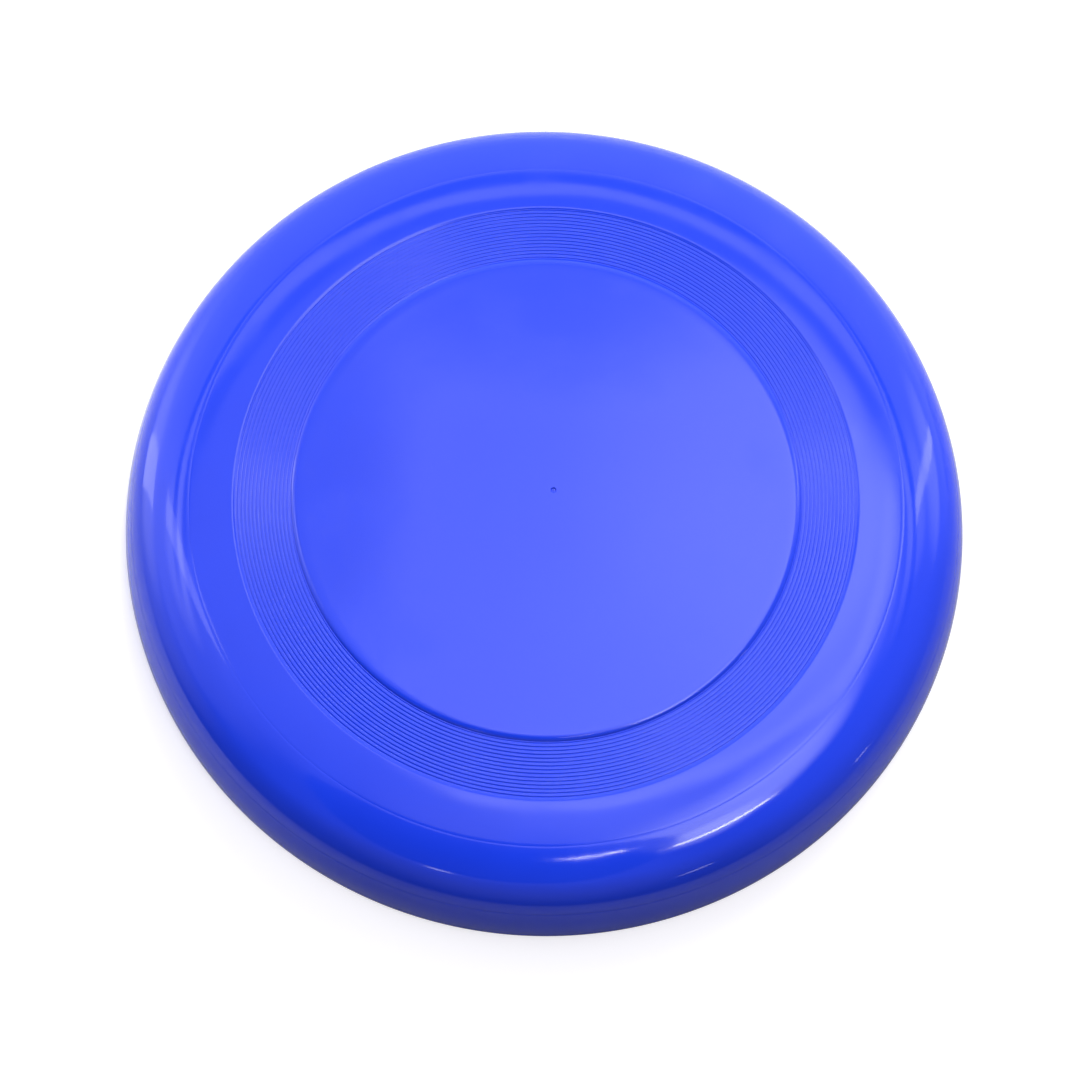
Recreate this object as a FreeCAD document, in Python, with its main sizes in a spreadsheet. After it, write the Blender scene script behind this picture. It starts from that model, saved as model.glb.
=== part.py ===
import FreeCAD, Part
import math
import os

import Sketcher

# Flying disc: one injection moulding in gloss polypropylene, open underneath.
# It is drawn as five round zones that meet face to face on the moulding's visible edges: the raised
# centre panel, the band of fine grooves, the smooth shoulder, and the deep rolled rim above and
# below the line where the mould's halves parted.
# Origin: on the axis, level with the foot of the rim. +Z points up through the top face.

DIMENSIONS = {
    "outer_radius": 115.0,        # widest point of the rim, just above the foot
    "band_height": 24.5,          # tops of the ridges above the foot
    "wall_thickness": 1.7,        # the same all over, but for the thick lower edge
    "panel_rise": 0.5,            # centre panel above the ridges
    "panel_flat_radius": 65.9,    # where the panel starts to roll down
    "band_inner_radius": 68.2,    # foot of the panel's rolled edge
    "first_groove_radius": 68.7,  # middle of the innermost groove
    "groove_pitch": 1.016,
    "groove_count": 15,
    "groove_half_width": 0.32,    # at the top of the groove
    "groove_depth": 0.14,
    "band_outer_radius": 83.35,   # foot of the step up to the shoulder
    "step_width": 0.4,            # bevelled step between band and shoulder
    "step_rise": 0.12,
    "crease_radius": 95.7,        # edge where the shoulder turns into the rim
    "shoulder_drop": 0.4,         # the crease below the ridges
    "crown_radius": 36.0,         # gentle fall of the rim outside the crease
    "corner_start": 104.6,        # distance from the axis where the rim starts to turn down
    "corner_radius": 12.7,        # turn of the rim from its top to its side
    "side_radius": 32.7,          # nearly upright side of the rim
    "parting_height": 15.3,       # the mould's parting line round the rim
    "foot_outer_radius": 1.4,     # rounding outside the foot
    "foot_width": 1.2,            # flat ring that the disc stands on
    "foot_inner_radius": 1.0,     # rounding inside the foot
    "bead_height": 3.0,           # top of the thick lower edge's upright inner side
    "bead_blend_height": 5.0,     # where the thick edge has thinned to the wall
    "gate_x": 1.9,                # moulding gate mark, a little off the axis
    "gate_y": 0.9,
    "gate_radius": 0.8,
    "gate_depth": 0.3,
}

START, END, CENTRE = 1, 2, 3
ORIGIN = (-1, 1)
BASE_AXIS = -1
SAME_PLACE = 1e-6

doc = FreeCAD.newDocument("flying_disc")
sheet = doc.addObject("Spreadsheet::Sheet", "sizes")
for row, (alias, value) in enumerate(DIMENSIONS.items(), start=1):
    sheet.set(f"A{row}", alias)
    sheet.set(f"B{row}", str(value))
    sheet.setAlias(f"B{row}", alias)
doc.recompute()


def size(alias):
    return float(getattr(sheet, alias))


def vector(pair):
    return FreeCAD.Vector(pair[0], pair[1], 0)


def arc_through(start, end, radius, side):
    """Minor arc from start to end; side 1 bows it to the left of that direction, -1 to the right."""
    along = (end[0] - start[0], end[1] - start[1])
    chord = math.hypot(*along)
    sagitta = radius - math.sqrt(radius ** 2 - chord ** 2 / 4)
    middle = ((start[0] + end[0]) / 2 - side * sagitta * along[1] / chord,
              (start[1] + end[1]) / 2 + side * sagitta * along[0] / chord)
    return Part.Arc(vector(start), vector(middle), vector(end))


class Outline:
    """A closed outline on the plane of the axis, x the radius and y the height.

    corners maps each corner's name to a first guess at its place, in order round the outline.
    arcs maps a corner to (radius, side) where the edge that leaves it is an arc.
    The rules added afterwards, most of them bound to the sheet, settle every place.
    """

    def __init__(self, body, name, corners, arcs):
        self.sketch = body.newObject("Sketcher::SketchObject", name)
        plane = next(item for item in body.Origin.OriginFeatures if item.Role == "XZ_Plane")
        self.sketch.AttachmentSupport = [(plane, "")]
        self.sketch.MapMode = "FlatFace"
        self.rules = []
        self.leaving = {}
        self.arriving = {}
        names = list(corners)
        for here, there in zip(names, names[1:] + names[:1]):
            first, last = vector(corners[here]), vector(corners[there])
            if here in arcs:
                edge = self.sketch.addGeometry(arc_through(first, last, *arcs[here]))
            else:
                edge = self.sketch.addGeometry(Part.LineSegment(first, last))
            forward = (self.sketch.getPoint(edge, START) - first).Length < SAME_PLACE
            self.leaving[here] = (edge, START if forward else END)
            self.arriving[there] = (edge, END if forward else START)

    def rule(self, kind, *where, expression=None):
        value = [] if expression is None else [float(self.sketch.evalExpression(expression))]
        self.rules.append((Sketcher.Constraint(kind, *where, *value), expression))

    def join(self, smooth=()):
        """Join the edges at every corner; at a smooth one they meet without a kink."""
        for corner in self.leaving:
            kind = "Tangent" if corner in smooth else "Coincident"
            self.rule(kind, *self.arriving[corner], *self.leaving[corner])

    def level(self, *corners):
        """The edge that leaves each of these corners is level."""
        for corner in corners:
            self.rule("Horizontal", self.leaving[corner][0])

    def upright(self, *corners):
        """The edge that leaves each of these corners is upright."""
        for corner in corners:
            self.rule("Vertical", self.leaving[corner][0])

    def line_up(self, direction, arc_corner, corner):
        """Put an arc's centre level with a corner (Horizontal) or straight below it (Vertical)."""
        self.rule(direction, self.leaving[arc_corner][0], CENTRE, *self.leaving[corner])

    def same_centre(self, arc_corner, other_arc_corner):
        self.rule("Coincident", self.leaving[arc_corner][0], CENTRE,
                  self.leaving[other_arc_corner][0], CENTRE)

    def on_base(self, corner):
        self.rule("PointOnObject", *self.leaving[corner], BASE_AXIS)

    def at_radius(self, corner, expression):
        self.rule("DistanceX", *ORIGIN, *self.leaving[corner], expression=expression)

    def at_height(self, corner, expression):
        self.rule("DistanceY", *ORIGIN, *self.leaving[corner], expression=expression)

    def arc_radius(self, corner, expression):
        self.rule("Radius", self.leaving[corner][0], expression=expression)

    def width(self, corner, expression):
        """Level distance covered by the edge that leaves this corner, outer end first."""
        edge, outer_end = self.leaving[corner]
        inner_end = END if outer_end == START else START
        self.rule("DistanceX", edge, inner_end, edge, outer_end, expression=expression)

    def settle(self):
        self.sketch.addConstraint([constraint for constraint, _ in self.rules])
        for index, (_, expression) in enumerate(self.rules):
            if expression is not None:
                self.sketch.setExpression(f"Constraints[{index}]", expression)
        doc.recompute()
        free = self.sketch.solve()
        if free != 0 or not self.sketch.FullyConstrained:
            raise RuntimeError(f"{self.sketch.Label} isn't settled: {free}, {self.sketch.DoF} free")


def new_body(label):
    body = doc.addObject("PartDesign::Body", label)
    body.Label = label
    return body


def turn(body, outline, kind, name):
    """Turn an outline about the disc's axis: PartDesign::Revolution adds, PartDesign::Groove cuts."""
    feature = body.newObject(kind, name)
    feature.Profile = outline.sketch
    feature.ReferenceAxis = (outline.sketch, ["V_Axis"])
    feature.Angle = 360.0
    body.Tip = feature
    doc.recompute()
    return feature


def make_centre_panel():
    body = new_body("centre_panel")
    top = size("band_height") + size("panel_rise")
    under = size("band_height") - size("wall_thickness")
    edge_width = size("band_inner_radius") - size("panel_flat_radius")
    edge_radius = (edge_width ** 2 + size("panel_rise") ** 2) / (2 * size("panel_rise"))
    outline = Outline(body, "panel_outline", {
        "axis_under": (0, under),
        "axis_top": (0, top),
        "roll_start": (size("panel_flat_radius"), top),
        "roll_end": (size("band_inner_radius"), size("band_height")),
        "edge_under": (size("band_inner_radius"), under),
    }, arcs={"roll_start": (edge_radius, 1)})
    outline.join()
    outline.upright("axis_under", "roll_end")
    outline.level("axis_top", "edge_under")
    outline.line_up("Vertical", "roll_start", "roll_start")
    outline.at_radius("axis_under", "0 mm")
    outline.at_height("axis_top", "sizes.band_height + sizes.panel_rise")
    outline.at_radius("roll_start", "sizes.panel_flat_radius")
    outline.at_radius("roll_end", "sizes.band_inner_radius")
    outline.at_height("roll_end", "sizes.band_height")
    outline.at_height("edge_under", "sizes.band_height - sizes.wall_thickness")
    outline.settle()
    turn(body, outline, "PartDesign::Revolution", "panel_disc")
    cut_gate_mark(body)
    return body


def cut_gate_mark(body):
    """A small round recess where the plastic entered the mould."""
    before = body.Shape.Volume
    sketch = body.newObject("Sketcher::SketchObject", "gate_circle")
    plane = next(item for item in body.Origin.OriginFeatures if item.Role == "XY_Plane")
    sketch.AttachmentSupport = [(plane, "")]
    sketch.MapMode = "FlatFace"
    sketch.setExpression("AttachmentOffset.Base.z", "sizes.band_height + sizes.panel_rise")
    middle = FreeCAD.Vector(size("gate_x"), size("gate_y"), 0)
    circle = sketch.addGeometry(Part.Circle(middle, FreeCAD.Vector(0, 0, 1), size("gate_radius")))
    bindings = [("DistanceX", (*ORIGIN, circle, CENTRE), "gate_x"),
                ("DistanceY", (*ORIGIN, circle, CENTRE), "gate_y"),
                ("Radius", (circle,), "gate_radius")]
    for kind, where, alias in bindings:
        index = sketch.addConstraint(Sketcher.Constraint(kind, *where, size(alias)))
        sketch.setExpression(f"Constraints[{index}]", f"sizes.{alias}")
    doc.recompute()
    pocket = body.newObject("PartDesign::Pocket", "gate_mark")
    pocket.Profile = sketch
    pocket.setExpression("Length", "sizes.gate_depth")
    body.Tip = pocket
    doc.recompute()
    check_cut(body, before)


def check_cut(body, before):
    if not body.Shape.Volume < before:
        raise RuntimeError(f"{body.Label}: a cut took nothing away")


def make_groove_band():
    body = new_body("groove_band")
    top = size("band_height")
    under = top - size("wall_thickness")
    ring = Outline(body, "band_outline", {
        "inner_under": (size("band_inner_radius"), under),
        "inner_top": (size("band_inner_radius"), top),
        "outer_top": (size("band_outer_radius"), top),
        "outer_under": (size("band_outer_radius"), under),
    }, arcs={})
    ring.join()
    ring.upright("inner_under", "outer_top")
    ring.level("inner_top", "outer_under")
    ring.at_radius("inner_under", "sizes.band_inner_radius")
    ring.at_radius("outer_top", "sizes.band_outer_radius")
    ring.at_height("outer_top", "sizes.band_height")
    ring.at_height("outer_under", "sizes.band_height - sizes.wall_thickness")
    ring.settle()
    turn(body, ring, "PartDesign::Revolution", "band_ring")
    for number in range(int(size("groove_count"))):
        cut_groove(body, number)
    return body


def cut_groove(body, number):
    """One fine groove, its bottom an arc."""
    before = body.Shape.Volume
    middle = size("first_groove_radius") + number * size("groove_pitch")
    half_width, depth = size("groove_half_width"), size("groove_depth")
    bottom_radius = (half_width ** 2 + depth ** 2) / (2 * depth)
    groove = Outline(body, f"groove_outline_{number + 1}", {
        "inner_lip": (middle - half_width, size("band_height")),
        "outer_lip": (middle + half_width, size("band_height")),
    }, arcs={"inner_lip": (bottom_radius, -1)})
    middle_text = f"sizes.first_groove_radius + {number} * sizes.groove_pitch"
    bottom_text = ("(sizes.groove_half_width ^ 2 + sizes.groove_depth ^ 2)"
                   " / (2 * sizes.groove_depth)")
    groove.join()
    groove.level("outer_lip")
    groove.at_height("inner_lip", "sizes.band_height")
    groove.at_radius("inner_lip", f"{middle_text} - sizes.groove_half_width")
    groove.at_radius("outer_lip", f"{middle_text} + sizes.groove_half_width")
    groove.arc_radius("inner_lip", bottom_text)
    groove.settle()
    turn(body, groove, "PartDesign::Groove", f"groove_{number + 1}")
    check_cut(body, before)


def make_shoulder():
    body = new_body("shoulder")
    ridge_top = size("band_height")
    under = ridge_top - size("wall_thickness")
    step_radius = size("band_outer_radius") + size("step_width")
    step_top = ridge_top + size("step_rise")
    crease = (size("crease_radius"), ridge_top - size("shoulder_drop"))
    top_run, top_fall = crease[0] - step_radius, step_top - crease[1]
    under_run, under_fall = crease[0] - size("band_outer_radius"), size("shoulder_drop")
    outline = Outline(body, "shoulder_outline", {
        "inner_under": (size("band_outer_radius"), under),
        "step_foot": (size("band_outer_radius"), ridge_top),
        "step_head": (step_radius, step_top),
        "crease": crease,
        "crease_under": (crease[0], crease[1] - size("wall_thickness")),
    }, arcs={
        "step_head": ((top_run ** 2 + top_fall ** 2) / (2 * top_fall), 1),
        "crease_under": ((under_run ** 2 + under_fall ** 2) / (2 * under_fall), -1),
    })
    outline.join()
    outline.upright("inner_under", "crease")
    outline.line_up("Vertical", "step_head", "step_head")
    outline.line_up("Vertical", "crease_under", "inner_under")
    outline.at_radius("step_foot", "sizes.band_outer_radius")
    outline.at_height("inner_under", "sizes.band_height - sizes.wall_thickness")
    outline.at_height("step_foot", "sizes.band_height")
    outline.at_radius("step_head", "sizes.band_outer_radius + sizes.step_width")
    outline.at_height("step_head", "sizes.band_height + sizes.step_rise")
    outline.at_radius("crease", "sizes.crease_radius")
    outline.at_height("crease", "sizes.band_height - sizes.shoulder_drop")
    outline.at_height("crease_under", "sizes.band_height - sizes.shoulder_drop - sizes.wall_thickness")
    outline.settle()
    turn(body, outline, "PartDesign::Revolution", "shoulder_ring")
    return body


def towards(start, end, distance):
    """The point at a distance from start on the line to end."""
    share = distance / math.dist(start, end)
    return (start[0] + share * (end[0] - start[0]), start[1] + share * (end[1] - start[1]))


def inner_centre(corner, radius, outer_centre, outer_radius):
    """Centre of a circle through a corner that touches a larger circle from inside, near its top."""
    reach = outer_radius - radius
    gap = math.dist(corner, outer_centre)
    along = (radius ** 2 - reach ** 2 + gap ** 2) / (2 * gap)
    aside = math.sqrt(radius ** 2 - along ** 2)
    foot = towards(corner, outer_centre, along)
    return (foot[0] - aside * (outer_centre[1] - corner[1]) / gap,
            foot[1] + aside * (outer_centre[0] - corner[0]) / gap)


def make_rim_zone(label, cut_under, cut_over):
    """The rim's whole ring, less what lies between two heights given as expressions."""
    body = new_body(label)
    turn(body, draw_rim(body), "PartDesign::Revolution", f"{label}_ring")
    before = body.Shape.Volume
    under = float(sheet.evalExpression(cut_under))
    over = float(sheet.evalExpression(cut_over))
    inner, outer = size("crease_radius") / 2, size("outer_radius") * 2
    other_zone = Outline(body, f"{label}_other_zone", {
        "inner_under": (inner, under),
        "inner_over": (inner, over),
        "outer_over": (outer, over),
        "outer_under": (outer, under),
    }, arcs={})
    other_zone.join()
    other_zone.upright("inner_under", "outer_over")
    other_zone.level("inner_over", "outer_under")
    other_zone.at_radius("inner_under", "sizes.crease_radius / 2")
    other_zone.at_radius("outer_over", "sizes.outer_radius * 2")
    other_zone.at_height("inner_under", cut_under)
    other_zone.at_height("outer_over", cut_over)
    other_zone.settle()
    turn(body, other_zone, "PartDesign::Groove", f"{label}_trim")
    check_cut(body, before)
    return body


def draw_rim(body):
    """The outline of the whole rim, from the crease to the foot and back inside.

    Outside, three arcs run into each other: the crown, the corner and the side.
    Inside, the same three arcs lie one wall deeper.
    """
    wall = size("wall_thickness")
    crease = (size("crease_radius"), size("band_height") - size("shoulder_drop"))
    shoulder_run = crease[0] - size("band_outer_radius") - size("step_width")
    shoulder_slope = 2 * (size("shoulder_drop") + size("step_rise")) / shoulder_run
    crown_centre = (crease[0] - size("crown_radius") * math.sin(shoulder_slope),
                    crease[1] - size("crown_radius") * math.cos(shoulder_slope))
    crown_end_rise = math.sqrt(size("crown_radius") ** 2 - (size("corner_start") - crown_centre[0]) ** 2)
    crown_end = (size("corner_start"), crown_centre[1] + crown_end_rise)
    foot_round, bead_round = size("foot_outer_radius"), size("foot_inner_radius")
    side_centre = (size("outer_radius") - size("side_radius"), foot_round)
    corner_centre = inner_centre(crown_end, size("corner_radius"), side_centre, size("side_radius"))
    corner_end = towards(side_centre, corner_centre, size("side_radius"))
    foot_outer = size("outer_radius") - foot_round
    foot_inner = foot_outer - size("foot_width")
    bead_inner = foot_inner - bead_round
    inner_side = size("side_radius") - wall
    blend_rise = size("bead_blend_height") - foot_round
    blend_radius = side_centre[0] + math.sqrt(inner_side ** 2 - blend_rise ** 2)
    outline = Outline(body, f"{body.Label}_outline", {
        "crease": crease,
        "crown_end": crown_end,
        "corner_end": corner_end,
        "widest": (size("outer_radius"), foot_round),
        "foot_outer": (foot_outer, 0),
        "foot_inner": (foot_inner, 0),
        "bead_foot": (bead_inner, bead_round),
        "bead_top": (bead_inner, size("bead_height")),
        "blend_end": (blend_radius, size("bead_blend_height")),
        "inner_corner_end": towards(corner_end, side_centre, wall),
        "inner_crown_end": towards(crown_end, crown_centre, wall),
        "crease_under": (crease[0], crease[1] - wall),
    }, arcs={
        "crease": (size("crown_radius"), 1),
        "crown_end": (size("corner_radius"), 1),
        "corner_end": (size("side_radius"), 1),
        "widest": (foot_round, 1),
        "foot_inner": (bead_round, 1),
        "blend_end": (inner_side, -1),
        "inner_corner_end": (size("corner_radius") - wall, -1),
        "inner_crown_end": (size("crown_radius") - wall, -1),
    })
    outline.join(smooth=("crown_end", "corner_end", "widest", "foot_outer", "foot_inner", "bead_foot",
                         "inner_corner_end", "inner_crown_end"))
    outline.level("foot_outer")
    outline.upright("bead_foot", "crease_under")
    outline.on_base("foot_outer")
    outline.line_up("Horizontal", "corner_end", "widest")
    outline.same_centre("blend_end", "corner_end")
    outline.same_centre("inner_corner_end", "crown_end")
    outline.same_centre("inner_crown_end", "crease")
    outline.at_radius("widest", "sizes.outer_radius")
    outline.at_radius("crease", "sizes.crease_radius")
    outline.at_height("crease", "sizes.band_height - sizes.shoulder_drop")
    outline.at_radius("crown_end", "sizes.corner_start")
    outline.at_height("bead_top", "sizes.bead_height")
    outline.at_height("blend_end", "sizes.bead_blend_height")
    outline.arc_radius("crease", "sizes.crown_radius")
    outline.arc_radius("crown_end", "sizes.corner_radius")
    outline.arc_radius("corner_end", "sizes.side_radius")
    outline.arc_radius("widest", "sizes.foot_outer_radius")
    outline.arc_radius("foot_inner", "sizes.foot_inner_radius")
    outline.arc_radius("blend_end", "sizes.side_radius - sizes.wall_thickness")
    outline.width("foot_outer", "sizes.foot_width")
    outline.settle()
    return outline


pieces = [
    make_centre_panel(),
    make_groove_band(),
    make_shoulder(),
    make_rim_zone("rim_crown", "-sizes.band_height", "sizes.parting_height"),
    make_rim_zone("rim_wall", "sizes.parting_height", "2 * sizes.band_height"),
]
doc.recompute()

for item in doc.Objects:
    if {"Invalid", "Error"} & set(item.State):
        raise RuntimeError(f"{item.Label} failed: {item.State}")

for piece in pieces:
    if piece.Shape.isNull() or not piece.Shape.isValid():
        raise RuntimeError(f"{piece.Label} has no valid shape")

os.makedirs("parts", exist_ok=True)
for piece in pieces:
    piece.Shape.exportStep(f"parts/{piece.Label}.step")
    box = piece.Shape.optimalBoundingBox()
    print(piece.Label, round(piece.Shape.Volume), "mm3, from", round(box.ZMin, 3), "to",
          round(box.ZMax, 3), "mm, radius", round(box.XMax, 3))
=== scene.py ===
import math

import bpy
from mathutils import Matrix, Vector, noise


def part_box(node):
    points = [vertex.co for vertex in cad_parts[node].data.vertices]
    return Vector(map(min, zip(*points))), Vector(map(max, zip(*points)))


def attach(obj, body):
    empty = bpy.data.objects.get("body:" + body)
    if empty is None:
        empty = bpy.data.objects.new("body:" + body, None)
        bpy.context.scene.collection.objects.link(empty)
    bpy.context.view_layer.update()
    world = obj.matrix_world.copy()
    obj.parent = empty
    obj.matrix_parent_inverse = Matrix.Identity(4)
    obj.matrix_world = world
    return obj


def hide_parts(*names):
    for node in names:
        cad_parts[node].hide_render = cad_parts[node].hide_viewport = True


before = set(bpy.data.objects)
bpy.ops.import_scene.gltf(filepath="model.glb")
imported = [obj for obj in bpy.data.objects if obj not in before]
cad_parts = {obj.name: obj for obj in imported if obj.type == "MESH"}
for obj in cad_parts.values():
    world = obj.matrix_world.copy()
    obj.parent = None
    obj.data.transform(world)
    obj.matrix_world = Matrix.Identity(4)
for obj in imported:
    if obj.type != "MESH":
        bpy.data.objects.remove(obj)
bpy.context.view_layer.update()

# A flying disc, moulded in one piece from blue gloss polypropylene and lying on its rim.
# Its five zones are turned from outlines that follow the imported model, with the finer shapes
# added: rounded grooves, the moulding gate, the parting line and the slight waves that thin
# plastic cools into. The zones are one moulding, and not separate pieces.

MM = 0.001
TOUCH = 1e-7                  # metres; points nearer than this are one point

# Sizes taken from the frame, in metres.
DISC_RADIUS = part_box("rim_wall")[1].x
PARTING_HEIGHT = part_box("rim_wall")[1].z
CREASE_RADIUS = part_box("shoulder")[1].x
BAND_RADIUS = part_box("groove_band")[1].x
RIDGE_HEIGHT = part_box("groove_band")[1].z
PLATE_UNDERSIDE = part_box("groove_band")[0].z
PANEL_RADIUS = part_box("centre_panel")[1].x
PANEL_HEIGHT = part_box("centre_panel")[1].z
WALL = RIDGE_HEIGHT - PLATE_UNDERSIDE
CREASE_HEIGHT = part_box("rim_crown")[1].z

# Sizes inside the zones, in metres.
PANEL_FLAT_RADIUS = 65.9 * MM
PANEL_MIDDLE_RADIUS = 4.0 * MM    # finely drawn, for the gate
PANEL_EDGE_POWER = 3.4        # how late the panel's edge turns down; 2 is nearly a plain round
FIRST_GROOVE = 68.7 * MM
GROOVE_PITCH = 1.016 * MM
GROOVE_COUNT = 15
GROOVE_HALF_WIDTH = 0.33 * MM
GROOVE_DEPTH = 0.14 * MM
STEP_WIDTH = 0.4 * MM
STEP_RISE = 0.12 * MM
CROWN_RADIUS = 36.0 * MM
CROWN_SLOPE = 0.0932          # how steeply the crown leaves the crease
CORNER_START = 104.6 * MM
CORNER_RADIUS = 12.7 * MM
SIDE_RADIUS = 32.7 * MM
FOOT_OUTER = 1.4 * MM
FOOT_WIDTH = 1.2 * MM
FOOT_INNER = 1.0 * MM
BEAD_HEIGHT = 3.0 * MM
BEAD_BLEND_HEIGHT = 5.0 * MM
PANEL_SEAM_HALF_WIDTH = 0.25 * MM
PANEL_SEAM_DEPTH = 0.08 * MM
PANEL_SEAM_DRAWN = 0.6        # how much of the seam's half width has points of its own
CREASE_HALF_WIDTH = 0.3 * MM
CREASE_DEPTH = 0.018 * MM
PARTING_HALF_WIDTH = 0.22 * MM
PARTING_DEPTH = 0.10 * MM
GATE = Vector((1.9, 0.9)) * MM
GATE_RADIUS = 0.8 * MM
GATE_DEPTH = 0.3 * MM
GATE_EDGE = 0.35              # width of the dimple's side, as a part of its radius
GATE_NUB = 0.4                # width of the nub, as a part of the dimple's radius
GATE_NUB_HEIGHT = 0.6         # as a part of the dimple's depth

# How finely the outlines and turns are drawn.
SEGMENTS = 480
FLAT_STEPS = 40
PANEL_STEPS = 44
PANEL_EDGE_STEPS = 14
SEAM_STEPS = 2
GROOVE_STEPS = 10
BAND_UNDER_STEPS = 8
RISE_STEPS = 4
SHOULDER_STEPS = 24
SHOULDER_UNDER_STEPS = 12
RIM_STEPS = 30
CREASE_STEPS = 3
FOOT_STEPS = 8


# ---------------------------------------------------------------- camera, floor and light

CAMERA_DISTANCE = 0.6958      # from the middle of the grooved band
CAMERA_TILT = 18.99           # degrees away from straight above, towards -Y
CAMERA_PITCH = -1.04          # small turns of the camera on its own axes, in degrees
CAMERA_YAW = 0.083
CAMERA_ROLL = 2.984
CAMERA_LENS = 86.667          # millimetres
SENSOR_WIDTH = 36             # millimetres
NEAR_LIMIT = 0.01


def turn(degrees, axis):
    return Matrix.Rotation(math.radians(degrees), 4, axis)


def make_camera():
    data = bpy.data.cameras.new("camera")
    data.lens = CAMERA_LENS
    data.sensor_width = SENSOR_WIDTH
    data.clip_start = NEAR_LIMIT
    camera = bpy.data.objects.new("camera", data)
    bpy.context.scene.collection.objects.link(camera)
    swing = turn(CAMERA_TILT, "X")
    out = Matrix.Translation((0, 0, CAMERA_DISTANCE))
    stand = Matrix.Translation((0, 0, RIDGE_HEIGHT)) @ swing @ out
    aim = turn(CAMERA_PITCH, "X") @ turn(CAMERA_YAW, "Y") @ turn(CAMERA_ROLL, "Z")
    camera.matrix_world = stand @ aim
    bpy.context.scene.camera = camera


make_camera()


class Value:
    """A number or vector socket that can be used in Python sums; each sum adds its Math node."""

    def __init__(self, shader, socket):
        self.shader = shader
        self.socket = socket

    def math(self, operation, *others, first=None):
        first = self if first is None else first
        return self.shader.node("ShaderNodeMath", {"operation": operation},
                                dict(enumerate((first, *others))))

    def __add__(self, other):
        return self.math("ADD", other)

    def __radd__(self, other):
        return self.math("ADD", self, first=other)

    def __sub__(self, other):
        return self.math("SUBTRACT", other)

    def __rsub__(self, other):
        return self.math("SUBTRACT", self, first=other)

    def __mul__(self, other):
        return self.math("MULTIPLY", other)

    def __rmul__(self, other):
        return self.math("MULTIPLY", self, first=other)

    def smooth(self, low, high):
        """0 below low, 1 above high, and an even rise between."""
        settings = {"interpolation_type": "SMOOTHSTEP", "clamp": True}
        return self.shader.node("ShaderNodeMapRange", settings, {
            "Value": self, "From Min": low, "From Max": high, "To Min": 0.0, "To Max": 1.0})

    def band(self, start, full, fade, end):
        """0 outside start and end, 1 from full to fade."""
        return self.smooth(start, full) - self.smooth(fade, end)


# Sockets that Blender tells apart by number.
GENERATED, OBJECT = 0, 3                        # outputs of Texture Coordinate
MIX_FACTOR, MIX_LOW, MIX_HIGH, MIXED = 0, 6, 7, 2   # a Mix node's colour sockets
DOT_VALUE = 1                                   # number output of Vector Math
CAMERA_RAY = 0                                  # output of Light Path


class Shader:
    """A node tree of a material or a world, and short ways to add nodes to it."""

    def __init__(self, tree):
        self.tree = tree
        tree.nodes.clear()

    def node(self, kind, settings=None, sockets=None, output=0):
        made = self.tree.nodes.new(kind)
        for name, value in (settings or {}).items():
            setattr(made, name, value)
        for name, value in (sockets or {}).items():
            if isinstance(value, Value):
                self.tree.links.new(value.socket, made.inputs[name])
            else:
                made.inputs[name].default_value = value
        return Value(self, made.outputs[output]) if made.outputs else None

    def mix(self, amount, low, high):
        """Colour between low and high."""
        return self.node("ShaderNodeMix", {"data_type": "RGBA"},
                         {MIX_FACTOR: amount, MIX_LOW: low, MIX_HIGH: high}, output=MIXED)

    def along(self, place, axis):
        """How far a place or a direction reaches along an axis."""
        return self.node("ShaderNodeVectorMath", {"operation": "DOT_PRODUCT"},
                         {0: place, 1: axis}, output=DOT_VALUE)

    def cone(self, towards, azimuth, elevation, inner, outer):
        """1 within the inner angle of a direction in the room, 0 beyond the outer angle."""
        closeness = self.along(towards, direction(azimuth, elevation))
        return closeness.smooth(math.cos(math.radians(outer)), math.cos(math.radians(inner)))

    def noise(self, place, scale, detail=2.0, roughness=0.5):
        return self.node("ShaderNodeTexNoise", {"noise_dimensions": "3D"}, {
            "Vector": place, "Scale": scale, "Detail": detail, "Roughness": roughness})


def direction(azimuth, elevation):
    """Unit vector; azimuth turns from +X towards +Y, elevation up from the floor, in degrees."""
    level = math.cos(math.radians(elevation))
    return Vector((level * math.cos(math.radians(azimuth)),
                   level * math.sin(math.radians(azimuth)),
                   math.sin(math.radians(elevation))))


ROOM_LIGHT = 0.12
LEAST_LIGHT = 0.05
BACKGROUND_WHITE = 1.6        # what the camera sees past the floor
BACK = Vector((0, 1, 0))
RIGHT = Vector((1, 0, 0))
UP = Vector((0, 0, 1))
# Broad patches of the room: azimuth, elevation, inner and outer angle, and how much light they add.
ROOM_PATCHES = (
    (95, 5, 25, 115, 0.45),       # back wall and its spill
    (95, 5, 60, 85, 0.64),
    (165, 20, 8, 40, 0.7),        # left wall
    (158, 22, 5, 22, 1.0),
    (160, 56, 2, 9, 1.0),
    (168, 55, 5, 20, 0.5),
    (0, 15, 20, 60, 0.2),         # right wall
    (30, 34, 2, 13, 1.4),
    (33, 52, 1, 8, 0.9),
    (-90, 45, 10, 40, 0.22),      # room in front
    (-8, 75, 3, 13, 4.0),         # ceiling window
    (-34, 71, 1, 7, 3.0),
    (50, 74, 4, 14, 0.9),
    (36, 66, 3, 12, 0.4),
    (150, 80, 4, 18, 0.3),
    (80, 87, 2, 9, 0.5),
    (70, 69, 1, 7, 1.0),
)
# Beams and lit gaps above the back wall: the heights at which each starts, is full, fades and
# ends, and the share of light that it adds or takes away.
ROOM_BEAMS = (
    (0.812, 0.816, 0.842, 0.846, -0.70),
    (0.846, 0.850, 0.872, 0.877, 0.85),
    (0.877, 0.881, 0.900, 0.905, -0.50),
)
BEAMS_BEHIND = (0.05, 0.35)   # the beams come in between these parts of a direction to the back
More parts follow.
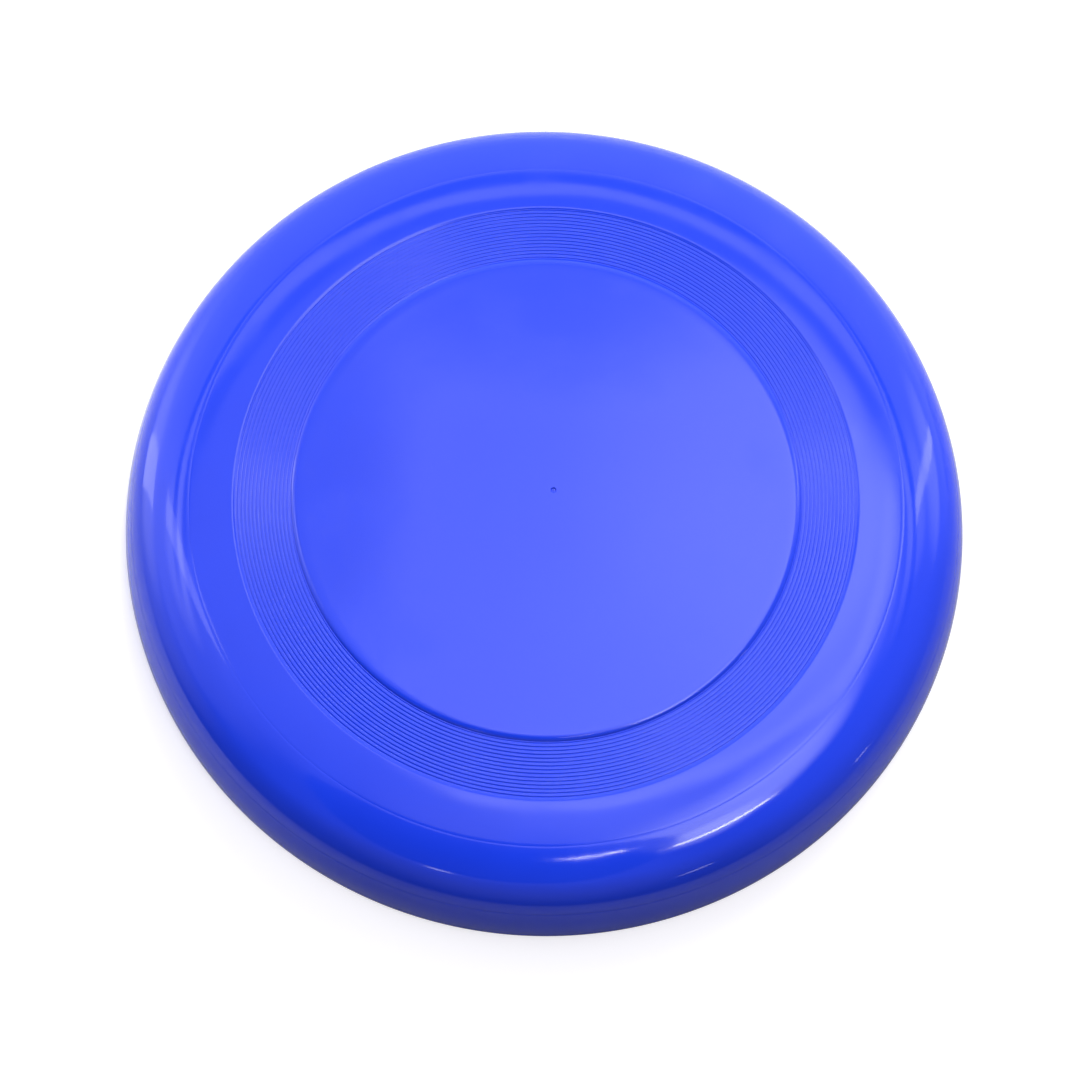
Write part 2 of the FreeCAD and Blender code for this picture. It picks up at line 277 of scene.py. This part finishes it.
# Skylight: its left and right edges, then its front and back edges, as parts of a direction.
SKYLIGHT = (-0.052, -0.040, 0.20, 0.30, 0.15, 0.22, 0.353, 0.366)
SKYLIGHT_GLOW = 1.15
SKYLIGHT_EDGE_GLOW = 1.6
SKYLIGHT_ABOVE = (0.5, 0.6)   # only overhead, so that its mirror image below isn't lit
# Someone standing over the disc: azimuth, elevation, inner and outer angle, and the share of
# light that stays.
PERSON = (-104, 74, 16.8, 17.3, 0.22)


def make_room():
    world = bpy.data.worlds.new("room")
    world.use_nodes = True
    bpy.context.scene.world = world
    shader = Shader(world.node_tree)
    towards = shader.node("ShaderNodeTexCoord", output=GENERATED)
    light = ROOM_LIGHT
    for azimuth, elevation, inner, outer, strength in ROOM_PATCHES:
        light = light + strength * shader.cone(towards, azimuth, elevation, inner, outer)
    height = shader.along(towards, UP)
    behind = shader.along(towards, BACK).smooth(*BEAMS_BEHIND)
    for start, full, fade, end, change in ROOM_BEAMS:
        beam = height.band(start, full, fade, end)
        light = light * (1 + change * beam * behind)
    across = shader.along(towards, RIGHT)
    depth = shader.along(towards, BACK)
    opening = (across.band(*SKYLIGHT[:4]) * depth.band(*SKYLIGHT[4:])
               * height.smooth(*SKYLIGHT_ABOVE))
    light = light + SKYLIGHT_GLOW * opening
    light = light + 4 * SKYLIGHT_EDGE_GLOW * opening * (1 - opening)
    azimuth, elevation, inner, outer, left_over = PERSON
    light = light * (1 - (1 - left_over) * shader.cone(towards, azimuth, elevation, inner, outer))
    light = light.math("MAXIMUM", LEAST_LIGHT)
    seen = shader.node("ShaderNodeLightPath", output=CAMERA_RAY)
    brightness = light * (1 - seen) + BACKGROUND_WHITE * seen
    background = shader.node("ShaderNodeBackground", sockets={
        "Color": (1, 1, 1, 1), "Strength": brightness})
    shader.node("ShaderNodeOutputWorld", sockets={"Surface": background})


make_room()

LAMP_DISTANCE = 1.6


def lamp(name, azimuth, elevation, width, height, brightness, spin=0.0, mirrored=True):
    """A rectangular soft lamp that faces the disc; its width and height are angles."""
    data = bpy.data.lights.new(name, "AREA")
    data.shape = "RECTANGLE"
    data.size = 2 * LAMP_DISTANCE * math.tan(math.radians(width / 2))
    data.size_y = 2 * LAMP_DISTANCE * math.tan(math.radians(height / 2))
    data.energy = brightness * data.size * data.size_y * math.pi
    out = direction(azimuth, elevation)
    item = bpy.data.objects.new(name, data)
    item.rotation_mode = "QUATERNION"
    item.rotation_quaternion = (-out).to_track_quat("-Z", "Y") @ turn(spin, "Z").to_quaternion()
    item.location = out * LAMP_DISTANCE + Vector((0, 0, RIDGE_HEIGHT))
    item.visible_glossy = mirrored
    bpy.context.scene.collection.objects.link(item)


LAMPS = (
    # name, azimuth, elevation, width, height, brightness, spin
    ("window_right", 31, 36, 2.5, 34, 3, 0),
    ("window_left", 158, 58, 3.5, 22, 1.8, 0),
    ("window_left_low", 160, 12, 8, 40, 2.3, 0),
    ("strip_front", -36, 66, 11, 1.0, 22, -25),
    ("strip_front_small", -66, 76, 5, 1.1, 26, 0),
    ("lamp_front_left", -109, 52, 3, 3, 5, 0),
    ("lamp_front_low", -58, 22, 5, 1.6, 5, 0),
    ("lamp_right_low", -23, 13, 3, 2, 5, 0),
)

for settings in LAMPS:
    lamp(*settings)
lamp("soft_fill_from_back", 72, 36, 36, 24, 13, mirrored=False)


FLOOR_HEIGHT = -0.02 * MM     # a hair under the foot, so that the two faces don't coincide
FLOOR_HALF = 6.0
# Painted shade: the paper is darker in front than at the back and left, so that the rim mirrors a
# shaded front. A painted glow that only the camera sees lifts the paper more in front, so that it
# still looks white.
PAPER_TURN = direction(125, 0)
PAPER_FADE = (-0.12, 0.10)    # metres along that direction
PAPER_FRONT_PAINTED_SHADE = (0.36, 0.36, 0.37, 1)
PAPER_BACK = (0.75, 0.75, 0.76, 1)
PAINTED_GLOW_FRONT = (0.72, 0.71, 0.74, 1)
PAINTED_GLOW_BACK = (0.38, 0.37, 0.40, 1)
NO_LIGHT = (0, 0, 0, 1)


def make_floor():
    """Pale paper with painted shade in front, and a little painted light of its own that only the
    camera sees.
    """
    mesh = bpy.data.meshes.new("floor")
    corners = ((-1, -1), (1, -1), (1, 1), (-1, 1))
    mesh.from_pydata([(x * FLOOR_HALF, y * FLOOR_HALF, FLOOR_HEIGHT) for x, y in corners],
                     [], [(0, 1, 2, 3)])
    floor = bpy.data.objects.new("floor", mesh)
    bpy.context.scene.collection.objects.link(floor)
    material = bpy.data.materials.new("white_paper")
    material.use_nodes = True
    shader = Shader(material.node_tree)
    place = shader.node("ShaderNodeTexCoord", output=OBJECT)
    backwards = shader.along(place, PAPER_TURN).smooth(*PAPER_FADE)
    # painted shade: the paper's colour darkens towards the front
    paper = shader.mix(backwards, PAPER_FRONT_PAINTED_SHADE, PAPER_BACK)
    # painted glow, stronger in front, that only the camera sees
    painted_glow = shader.mix(backwards, PAINTED_GLOW_FRONT, PAINTED_GLOW_BACK)
    seen = shader.node("ShaderNodeLightPath", output=CAMERA_RAY)
    glow = shader.mix(seen, NO_LIGHT, painted_glow)
    surface = shader.node("ShaderNodeBsdfPrincipled", sockets={
        "Base Color": paper, "Roughness": 0.9, "Specular IOR Level": 0.1,
        "Emission Color": glow, "Emission Strength": 1.0})
    shader.node("ShaderNodeOutputMaterial", sockets={"Surface": surface})
    mesh.materials.append(material)


make_floor()


# ---------------------------------------------------------------- plastic

TINT_DEEP = (0.0068, 0.0345, 0.60, 1)
TINT_LIGHT = (0.0080, 0.0390, 0.65, 1)
# Scales of the skin's unevenness; higher is finer.
CLOUD_SCALE = 18.0
WEAR_SCALE = 38.0
PEEL_SCALE = 260.0
GRAIN_SCALE = 2200.0
CLOUD_RANGE = (0.3, 0.7)
WEAR_RANGE = (0.5, 0.72)
GRAIN_ROUGHNESS = 0.03
WEAR_ROUGHNESS = 0.05
LEAST_PEEL = 0.35             # peel of clean skin, beside 1.35 where it is worn
GRAIN_HEIGHT = 0.12
SKIN_DEPTH = 0.000014
PLASTIC_IOR = 1.49


def make_plastic(name, gloss, peel):
    """Blue polypropylene: gloss is the roughness of clean skin, peel how uneven its skin is."""
    material = bpy.data.materials.new(name)
    material.use_nodes = True
    shader = Shader(material.node_tree)
    place = shader.node("ShaderNodeTexCoord", output=OBJECT)
    cloud = shader.noise(place, CLOUD_SCALE, detail=3.0)
    tint = shader.mix(cloud.smooth(*CLOUD_RANGE), TINT_DEEP, TINT_LIGHT)
    grain = shader.noise(place, GRAIN_SCALE, detail=1.0)
    ripple = shader.noise(place, PEEL_SCALE)
    worn = shader.noise(place, WEAR_SCALE, detail=4.0, roughness=0.6).smooth(*WEAR_RANGE)
    roughness = gloss + GRAIN_ROUGHNESS * grain + WEAR_ROUGHNESS * worn
    skin = ripple * (LEAST_PEEL + worn) * peel + GRAIN_HEIGHT * grain
    bump = shader.node("ShaderNodeBump", sockets={
        "Strength": 1.0, "Distance": SKIN_DEPTH, "Height": skin})
    surface = shader.node("ShaderNodeBsdfPrincipled", sockets={
        "Base Color": tint, "Roughness": roughness, "IOR": PLASTIC_IOR, "Normal": bump})
    shader.node("ShaderNodeOutputMaterial", sockets={"Surface": surface})
    return material


GLOSS = make_plastic("gloss_plastic", 0.06, 0.6)
RIM_GLOSS = make_plastic("rim_plastic", 0.05, 1.0)
GROOVED = make_plastic("grooved_plastic", 0.13, 0.05)


# ---------------------------------------------------------------- outlines

def arc(centre, radius, start, end, steps):
    """Points of an arc from one distance from the axis to another, the start left out."""
    first = math.acos(max(-1.0, min(1.0, (start - centre[0]) / radius)))
    last = math.acos(max(-1.0, min(1.0, (end - centre[0]) / radius)))
    angles = [first + (last - first) * step / steps for step in range(1, steps + 1)]
    return [(centre[0] + radius * math.cos(angle), centre[1] + radius * math.sin(angle))
            for angle in angles]


def run(start, end, steps):
    """Points of a straight run, the start left out."""
    return [(start[0] + (end[0] - start[0]) * step / steps,
             start[1] + (end[1] - start[1]) * step / steps) for step in range(1, steps + 1)]


def centre_panel_outline():
    edge_width = PANEL_RADIUS - PANEL_FLAT_RADIUS
    rise = PANEL_HEIGHT - RIDGE_HEIGHT
    points = [(0, PLATE_UNDERSIDE), (0, PANEL_HEIGHT)]
    points += run(points[-1], (PANEL_MIDDLE_RADIUS, PANEL_HEIGHT), FLAT_STEPS)
    points += run(points[-1], (PANEL_FLAT_RADIUS, PANEL_HEIGHT), PANEL_STEPS)
    for step in range(1, PANEL_EDGE_STEPS + 1):
        points.append((PANEL_FLAT_RADIUS + edge_width * step / PANEL_EDGE_STEPS,
                       PANEL_HEIGHT - rise * (step / PANEL_EDGE_STEPS) ** PANEL_EDGE_POWER))
    points += [(PANEL_RADIUS, PLATE_UNDERSIDE)]
    points += run(points[-1], (0, PLATE_UNDERSIDE), FLAT_STEPS)[:-1]
    return points


def groove_band_outline():
    points = [(PANEL_RADIUS, PLATE_UNDERSIDE), (PANEL_RADIUS, RIDGE_HEIGHT)]
    seam_end = PANEL_RADIUS + PANEL_SEAM_DRAWN * PANEL_SEAM_HALF_WIDTH
    points += run(points[-1], (seam_end, RIDGE_HEIGHT), SEAM_STEPS)
    for number in range(GROOVE_COUNT):
        middle = FIRST_GROOVE + number * GROOVE_PITCH
        for step in range(GROOVE_STEPS + 1):
            across = 2 * step / GROOVE_STEPS - 1
            depth = GROOVE_DEPTH * (1 + math.cos(math.pi * across)) / 2
            points.append((middle + across * GROOVE_HALF_WIDTH, RIDGE_HEIGHT - depth))
    points += [(BAND_RADIUS, RIDGE_HEIGHT), (BAND_RADIUS, PLATE_UNDERSIDE)]
    points += run(points[-1], (PANEL_RADIUS, PLATE_UNDERSIDE), BAND_UNDER_STEPS)[:-1]
    return points


def shoulder_outline():
    step_foot = (BAND_RADIUS, RIDGE_HEIGHT)
    step_head = (BAND_RADIUS + STEP_WIDTH, RIDGE_HEIGHT + STEP_RISE)
    top_run, top_fall = CREASE_RADIUS - step_head[0], step_head[1] - CREASE_HEIGHT
    top_radius = (top_run ** 2 + top_fall ** 2) / (2 * top_fall)
    under_run, under_fall = CREASE_RADIUS - BAND_RADIUS, RIDGE_HEIGHT - CREASE_HEIGHT
    under_radius = (under_run ** 2 + under_fall ** 2) / (2 * under_fall)
    points = [(BAND_RADIUS, PLATE_UNDERSIDE), step_foot]
    points += run(step_foot, step_head, RISE_STEPS)
    top_centre = (step_head[0], step_head[1] - top_radius)
    crease_start = CREASE_RADIUS - CREASE_HALF_WIDTH
    points += arc(top_centre, top_radius, step_head[0], crease_start, SHOULDER_STEPS)
    points += arc(top_centre, top_radius, crease_start, CREASE_RADIUS, CREASE_STEPS)
    points += [(CREASE_RADIUS, CREASE_HEIGHT - WALL)]
    under_centre = (BAND_RADIUS, PLATE_UNDERSIDE - under_radius)
    points += arc(under_centre, under_radius, CREASE_RADIUS, BAND_RADIUS, SHOULDER_UNDER_STEPS)[:-1]
    return points


SIDE_CENTRE = (DISC_RADIUS - SIDE_RADIUS, FOOT_OUTER)


def corner_circles():
    """Centres of the crown's arc and the corner's arc, and where the corner runs into the side."""
    crown = (CREASE_RADIUS - CROWN_RADIUS * CROWN_SLOPE,
             CREASE_HEIGHT - CROWN_RADIUS * math.sqrt(1 - CROWN_SLOPE ** 2))
    lean = (CORNER_START - crown[0]) / CROWN_RADIUS
    inward = CROWN_RADIUS - CORNER_RADIUS
    corner = (crown[0] + inward * lean, crown[1] + inward * math.sqrt(1 - lean ** 2))
    away = math.dist(corner, SIDE_CENTRE)
    corner_end = SIDE_CENTRE[0] + SIDE_RADIUS * (corner[0] - SIDE_CENTRE[0]) / away
    return crown, corner, corner_end


CROWN_CENTRE, CORNER_CENTRE, CORNER_END = corner_circles()


def rim_arcs(depth):
    """The rim's outline from crease to widest point, at a depth under its outer skin."""
    crown, corner, side = CROWN_RADIUS - depth, CORNER_RADIUS - depth, SIDE_RADIUS - depth
    joint = CROWN_CENTRE[0] + (CORNER_START - CROWN_CENTRE[0]) * crown / CROWN_RADIUS
    turned = SIDE_CENTRE[0] + (CORNER_END - SIDE_CENTRE[0]) * side / SIDE_RADIUS
    rise = math.sqrt(crown ** 2 - (CREASE_RADIUS - CROWN_CENTRE[0]) ** 2)
    points = [(CREASE_RADIUS, CROWN_CENTRE[1] + rise)]
    crease_end = CREASE_RADIUS + CREASE_HALF_WIDTH
    points += arc(CROWN_CENTRE, crown, CREASE_RADIUS, crease_end, CREASE_STEPS)
    points += arc(CROWN_CENTRE, crown, crease_end, joint, RIM_STEPS)
    points += arc(CORNER_CENTRE, corner, joint, turned, RIM_STEPS)
    points += arc(SIDE_CENTRE, side, turned, DISC_RADIUS - depth, RIM_STEPS)
    return points


def split_at(points, height):
    """Cut a falling outline in two at a height; both parts have a point there, and only one."""
    above = [point for point in points if point[1] > height + TOUCH]
    below = [point for point in points if point[1] <= height + TOUCH]
    (r_high, z_high), (r_low, z_low) = above[-1], below[0]
    share = (z_high - height) / (z_high - z_low)
    cut = (r_high + share * (r_low - r_high), height)
    if z_low > height - TOUCH:
        below = below[1:]
    return above + [cut], [cut] + below


def notched(points):
    """The outside of the rim with the fine notch that the mould's parting line leaves."""
    def deepened(point):
        away = abs(point[1] - PARTING_HEIGHT) / PARTING_HALF_WIDTH
        return (point[0] - PARTING_DEPTH * max(0.0, 1 - away), point[1])
    for offset in (PARTING_HALF_WIDTH, 0, -PARTING_HALF_WIDTH):
        above, below = split_at(points, PARTING_HEIGHT + offset)
        points = above + below[1:]
    return [deepened(point) for point in points]


def rim_crown_outline():
    outside, _ = split_at(notched(rim_arcs(0)), PARTING_HEIGHT)
    inside, _ = split_at(rim_arcs(WALL), PARTING_HEIGHT)
    return outside + inside[::-1]


def rim_wall_outline():
    _, outside = split_at(notched(rim_arcs(0)), PARTING_HEIGHT)
    _, inside = split_at(rim_arcs(WALL), PARTING_HEIGHT)
    foot_outer = (DISC_RADIUS - FOOT_OUTER, 0)
    foot_inner = (foot_outer[0] - FOOT_WIDTH, 0)
    bead = foot_inner[0] - FOOT_INNER
    turns = [math.pi / 2 * step / FOOT_STEPS for step in range(1, FOOT_STEPS + 1)]
    points = list(outside)
    points += [(foot_outer[0] + FOOT_OUTER * math.cos(angle),
                FOOT_OUTER - FOOT_OUTER * math.sin(angle)) for angle in turns]
    points += [foot_inner]
    points += [(foot_inner[0] - FOOT_INNER * math.sin(angle),
                FOOT_INNER - FOOT_INNER * math.cos(angle)) for angle in turns]
    points += [(bead, BEAD_HEIGHT)]
    inside = [point for point in inside if point[1] > BEAD_BLEND_HEIGHT]
    return points + inside[::-1]


# ---------------------------------------------------------------- solids

WARP_DEPTH = 0.16 * MM
WARP_LENGTH = 85 * MM
RIPPLE_DEPTH = 0.045 * MM
RIPPLE_TURNS = 4.4            # higher is more ripples round the disc
RIPPLE_WIDTH = 8 * MM
DISH_DEPTH = 0.28 * MM
DISH_POWER = 4                # how far out the dish stays flat
HEIGHT_SHARE = 0.5            # how much height counts, beside distance, in the waves
STIFF_BELOW = 0.3             # parts of the height: no sag below this
SOFTENING = 0.6               # and full sag this much higher
RIPPLE_START = 0.5            # parts of the radius: no ripples inside this
RIPPLE_FADE = 0.25


def ease(share):
    """An even rise from 0 to 1."""
    return share * share * (3 - 2 * share)


def sag(radius, angle, height):
    """How far the cooled skin lies below its drawn height; nothing at the foot."""
    x, y = math.cos(angle), math.sin(angle)
    place = Vector((radius * x, radius * y, HEIGHT_SHARE * height))
    warp = 0.5 + 0.5 * noise.noise(place / WARP_LENGTH)
    turned = Vector((RIPPLE_TURNS * x, RIPPLE_TURNS * y,
                     (radius - HEIGHT_SHARE * height) / RIPPLE_WIDTH))
    ripple = 0.5 + 0.5 * noise.noise(turned)
    grip = ease(min(1.0, max(0.0, height / RIDGE_HEIGHT - STIFF_BELOW) / SOFTENING))
    edge = min(1.0, max(0.0, radius / DISC_RADIUS - RIPPLE_START) / RIPPLE_FADE)
    line = max(0.0, 1 - abs(radius - CREASE_RADIUS) / CREASE_HALF_WIDTH)
    seam = max(0.0, 1 - abs(radius - PANEL_RADIUS) / PANEL_SEAM_HALF_WIDTH)
    dish = max(0.0, 1 - (radius / PANEL_FLAT_RADIUS) ** DISH_POWER)
    fine = CREASE_DEPTH * line + PANEL_SEAM_DEPTH * seam
    return grip * (WARP_DEPTH * warp + RIPPLE_DEPTH * ripple * edge + DISH_DEPTH * dish + fine)


def gate_dip(x, y, height):
    """Depth of the moulding gate's dimple, with the broken nub left in its middle."""
    if height < PLATE_UNDERSIDE + WALL / 2:
        return 0.0
    away = math.hypot(x - GATE.x, y - GATE.y) / GATE_RADIUS
    if away >= 1:
        return 0.0
    dish = min(1.0, (1 - away) / GATE_EDGE)
    nub = max(0.0, 1 - away / GATE_NUB)
    return GATE_DEPTH * (ease(dish) - GATE_NUB_HEIGHT * nub * nub)


SHARP_ANGLE = math.radians(30)


def turned_solid(name, outline, material, node):
    """Turn a closed outline about the axis, let it sag, and stand it in for a node."""
    vertices, rings = [], []
    for radius, height in outline:
        if radius < TOUCH:
            rings.append([len(vertices)])
            vertices.append((0, 0, height - sag(0, 0, height) - gate_dip(0, 0, height)))
            continue
        rings.append(list(range(len(vertices), len(vertices) + SEGMENTS)))
        for step in range(SEGMENTS):
            angle = 2 * math.pi * step / SEGMENTS
            x, y = radius * math.cos(angle), radius * math.sin(angle)
            vertices.append((x, y, height - sag(radius, angle, height) - gate_dip(x, y, height)))
    faces = []
    for here, there in zip(rings, rings[1:] + rings[:1]):
        if len(here) == 1 and len(there) == 1:
            continue
        for step in range(SEGMENTS):
            after = (step + 1) % SEGMENTS
            if len(here) == 1:
                faces.append((here[0], there[step], there[after]))
            elif len(there) == 1:
                faces.append((here[step], there[0], here[after]))
            else:
                faces.append((here[step], there[step], there[after], here[after]))
    mesh = bpy.data.meshes.new(name)
    mesh.from_pydata(vertices, [], faces)
    mesh.materials.append(material)
    mesh.polygons.foreach_set("use_smooth", [True] * len(mesh.polygons))
    mesh.set_sharp_from_angle(angle=SHARP_ANGLE)
    mesh.update()
    piece = bpy.data.objects.new(name, mesh)
    bpy.context.scene.collection.objects.link(piece)
    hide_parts(node)
    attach(piece, "root")


turned_solid("moulded_centre_panel", centre_panel_outline(), GLOSS, "centre_panel")
turned_solid("moulded_groove_band", groove_band_outline(), GROOVED, "groove_band")
turned_solid("moulded_shoulder", shoulder_outline(), GLOSS, "shoulder")
turned_solid("moulded_rim_crown", rim_crown_outline(), RIM_GLOSS, "rim_crown")
turned_solid("moulded_rim_wall", rim_wall_outline(), RIM_GLOSS, "rim_wall")

bpy.context.scene.view_settings.view_transform = "Standard"
